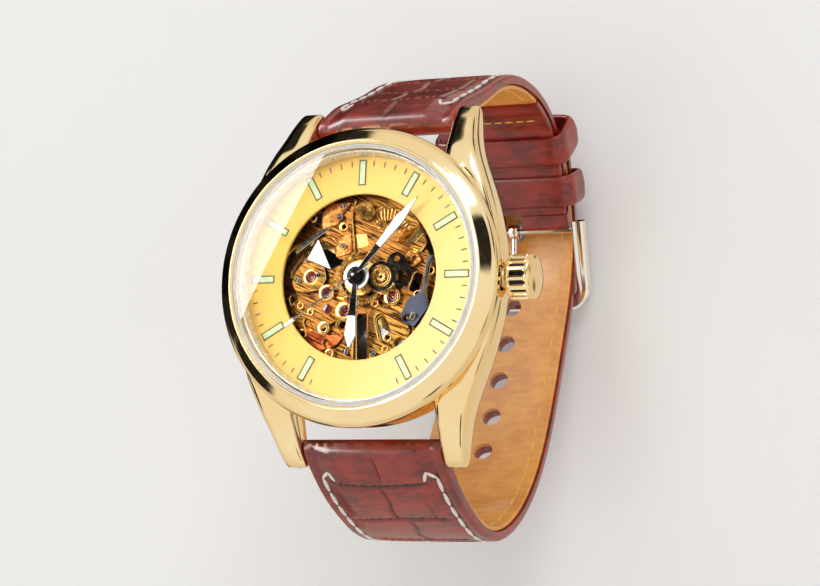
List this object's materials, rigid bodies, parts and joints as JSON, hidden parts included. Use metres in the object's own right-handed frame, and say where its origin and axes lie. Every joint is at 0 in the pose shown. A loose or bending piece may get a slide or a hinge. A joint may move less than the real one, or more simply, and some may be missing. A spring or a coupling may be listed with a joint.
{
  "type": "skeleton wristwatch",
  "caption": "Automatic skeleton wristwatch with an open champagne dial, polished gold case and a buckled padded leather strap.",
  "frame": {"origin": "centre of the back crystal's outer face, on the dial's axis", "axes": "+Z is the dial's normal, out of the dial; +Y is twelve o'clock; +X is three o'clock, towards the crown. The buckled strap loop hangs below the case, at negative Z."},
  "size_m": [0.0438, 0.0674, 0.0649],
  "materials": {
    "polished_gold": "polished gold plate",
    "rose_bronze": "brushed bronze plate",
    "gilt_brass": "gilt",
    "steel": "satin",
    "polished_steel": "polished",
    "rhodium_plate": "rhodium plated, brushed",
    "slate_steel": "dark slate",
    "black_metal": "black",
    "blued_steel": "blued",
    "ruby": "clear red jewel",
    "champagne_dial": "champagne sunray",
    "sapphire_crystal": "clear",
    "white_nylon": "matt",
    "black_rubber": "matt",
    "strap_leather": "glossy croc-embossed",
    "strap_lining": "smooth calf"
  },
  "bodies": {
    "case": {"mid_case": "polished_gold", "bezel": "polished_gold", "crystal": "sapphire_crystal", "crystal_gasket": "white_nylon", "rehaut_ring": "polished_steel", "case_back": "polished_gold", "back_crystal": "sapphire_crystal", "back_gasket": "black_rubber", "movement_holder": "polished_steel", "crown_tube": "steel", "dial": "champagne_dial", "main_plate": "rose_bronze", "barrel_bridge": "rhodium_plate", "train_bridge": "rhodium_plate", "balance_cock": "rhodium_plate", "pallet_cock": "rhodium_plate", "barrel_bridge_screw": "blued_steel", "train_bridge_screw": "blued_steel", "balance_cock_screw": "blued_steel", "third_jewel": "ruby", "escape_jewel": "ruby", "fork_jewel": "ruby", "balance_jewel": "ruby", "setting_bridge": "black_metal", "jumper_spring": "slate_steel", "rotor_post": "steel", "strap_tail": "strap_leather", "strap_tail_lining": "strap_lining", "strap_buckle": "strap_leather", "strap_buckle_lining": "strap_lining", "fixed_keeper": "strap_leather", "buckle_frame": "polished_steel", "buckle_bar": "steel", "spring_bar_12": "steel", "spring_bar_6": "steel"},
    "seconds": {"fourth_wheel": "steel", "seconds_hand": "black_metal"},
    "third": {"third_wheel": "gilt_brass"},
    "minutes": {"centre_wheel": "gilt_brass", "cannon_pinion": "steel", "minute_hand": "black_metal"},
    "barrel": {"barrel_drum": "gilt_brass", "mainspring": "steel"},
    "minute_works": {"minute_wheel": "gilt_brass"},
    "hours": {"hour_wheel": "gilt_brass", "hour_hand": "black_metal"},
    "escape": {"escape_wheel": "steel"},
    "fork": {"pallet_fork": "steel"},
    "balance": {"balance_wheel": "gilt_brass", "hairspring": "blued_steel"},
    "rotor": {"rotor": "rhodium_plate"},
    "crown_seat": {"crown_seal": "black_rubber"},
    "crown": {"crown": "polished_gold", "stem": "steel"},
    "winding": {"winding_pinion": "steel"},
    "crown_wheel": {"crown_wheel": "steel"},
    "ratchet": {"ratchet_wheel": "steel", "barrel_arbor": "steel"},
    "tongue": {"buckle_tongue": "polished_steel"},
    "loose_keeper": {"floating_keeper": "strap_leather"}
  },
  "joints": [
    {"name": "seconds_spin", "type": "hinge", "parent": "case", "child": "seconds", "pos_m": [0, 0, 0.0049], "axis": [0, 0, -1], "continuous": true},
    {"name": "third_spin", "type": "hinge", "parent": "case", "child": "third", "pos_m": [0.00433, -0.0025, 0.0053], "axis": [0, 0, -1], "continuous": true},
    {"name": "minutes_spin", "type": "hinge", "parent": "case", "child": "minutes", "pos_m": [0, 0, 0.0058], "axis": [0, 0, -1], "continuous": true},
    {"name": "barrel_spin", "type": "hinge", "parent": "case", "child": "barrel", "pos_m": [0.00295, 0.00523, 0.0062], "axis": [0, 0, -1], "continuous": true},
    {"name": "minute_works_spin", "type": "hinge", "parent": "case", "child": "minute_works", "pos_m": [0.003, 0, 0.0081], "axis": [0, 0, -1], "continuous": true},
    {"name": "hours_spin", "type": "hinge", "parent": "case", "child": "hours", "pos_m": [0, 0, 0.0086], "axis": [0, 0, -1], "continuous": true},
    {"name": "escape_spin", "type": "hinge", "parent": "case", "child": "escape", "pos_m": [-0.00245, -0.00424, 0.0062], "axis": [0, 0, -1], "continuous": true},
    {"name": "fork_swing", "type": "hinge", "parent": "case", "child": "fork", "pos_m": [-0.0051, -0.00181, 0.0062], "axis": [0, 0, -1], "range_deg": [-5, 5]},
    {"name": "balance_swing", "type": "hinge", "parent": "case", "child": "balance", "pos_m": [-0.0075, 0.0004, 0.0053], "axis": [0, 0, -1], "range_deg": [-270, 270]},
    {"name": "rotor_spin", "type": "hinge", "parent": "case", "child": "rotor", "pos_m": [0, 0, 0.0025], "axis": [0, 0, 1], "continuous": true},
    {"name": "crown_pull", "type": "slide", "parent": "case", "child": "crown_seat", "axis": [1, 0, 0], "range_m": [0, 0.0012]},
    {"name": "crown_wind", "type": "hinge", "parent": "crown_seat", "child": "crown", "pos_m": [0.0205, 0, 0.0059], "axis": [1, 0, 0], "continuous": true},
    {"name": "winding_spin", "type": "hinge", "parent": "case", "child": "winding", "pos_m": [0.0106, 0, 0.0059], "axis": [1, 0, 0], "continuous": true},
    {"name": "crown_wheel_spin", "type": "hinge", "parent": "case", "child": "crown_wheel", "pos_m": [0.0079, 0, 0.0046], "axis": [0, 0, 1], "continuous": true},
    {"name": "ratchet_spin", "type": "hinge", "parent": "case", "child": "ratchet", "pos_m": [0.00295, 0.00523, 0.0046], "axis": [0, 0, 1], "continuous": true},
    {"name": "tongue_swing", "type": "hinge", "parent": "case", "child": "tongue", "pos_m": [0, 0.0165, -0.0462], "axis": [1, 0, 0], "range_deg": [0, 2.5]},
    {"name": "keeper_slide", "type": "slide", "parent": "case", "child": "loose_keeper", "axis": [0, 0.7153, 0.6988], "range_m": [-0.001, 0.001]}
  ],
  "couplings": [
    {"joint": "third_spin", "follows": "seconds_spin", "ratio": -0.125},
    {"joint": "minutes_spin", "follows": "seconds_spin", "ratio": 0.016667},
    {"joint": "barrel_spin", "follows": "seconds_spin", "ratio": -0.0027778},
    {"joint": "minute_works_spin", "follows": "seconds_spin", "ratio": -0.0055556},
    {"joint": "hours_spin", "follows": "seconds_spin", "ratio": 0.0013889},
    {"joint": "escape_spin", "follows": "seconds_spin", "ratio": -10},
    {"joint": "winding_spin", "follows": "crown_wind", "ratio": 1},
    {"joint": "crown_wheel_spin", "follows": "crown_wind", "ratio": 0.5},
    {"joint": "ratchet_spin", "follows": "crown_wind", "ratio": -0.3}
  ]
}
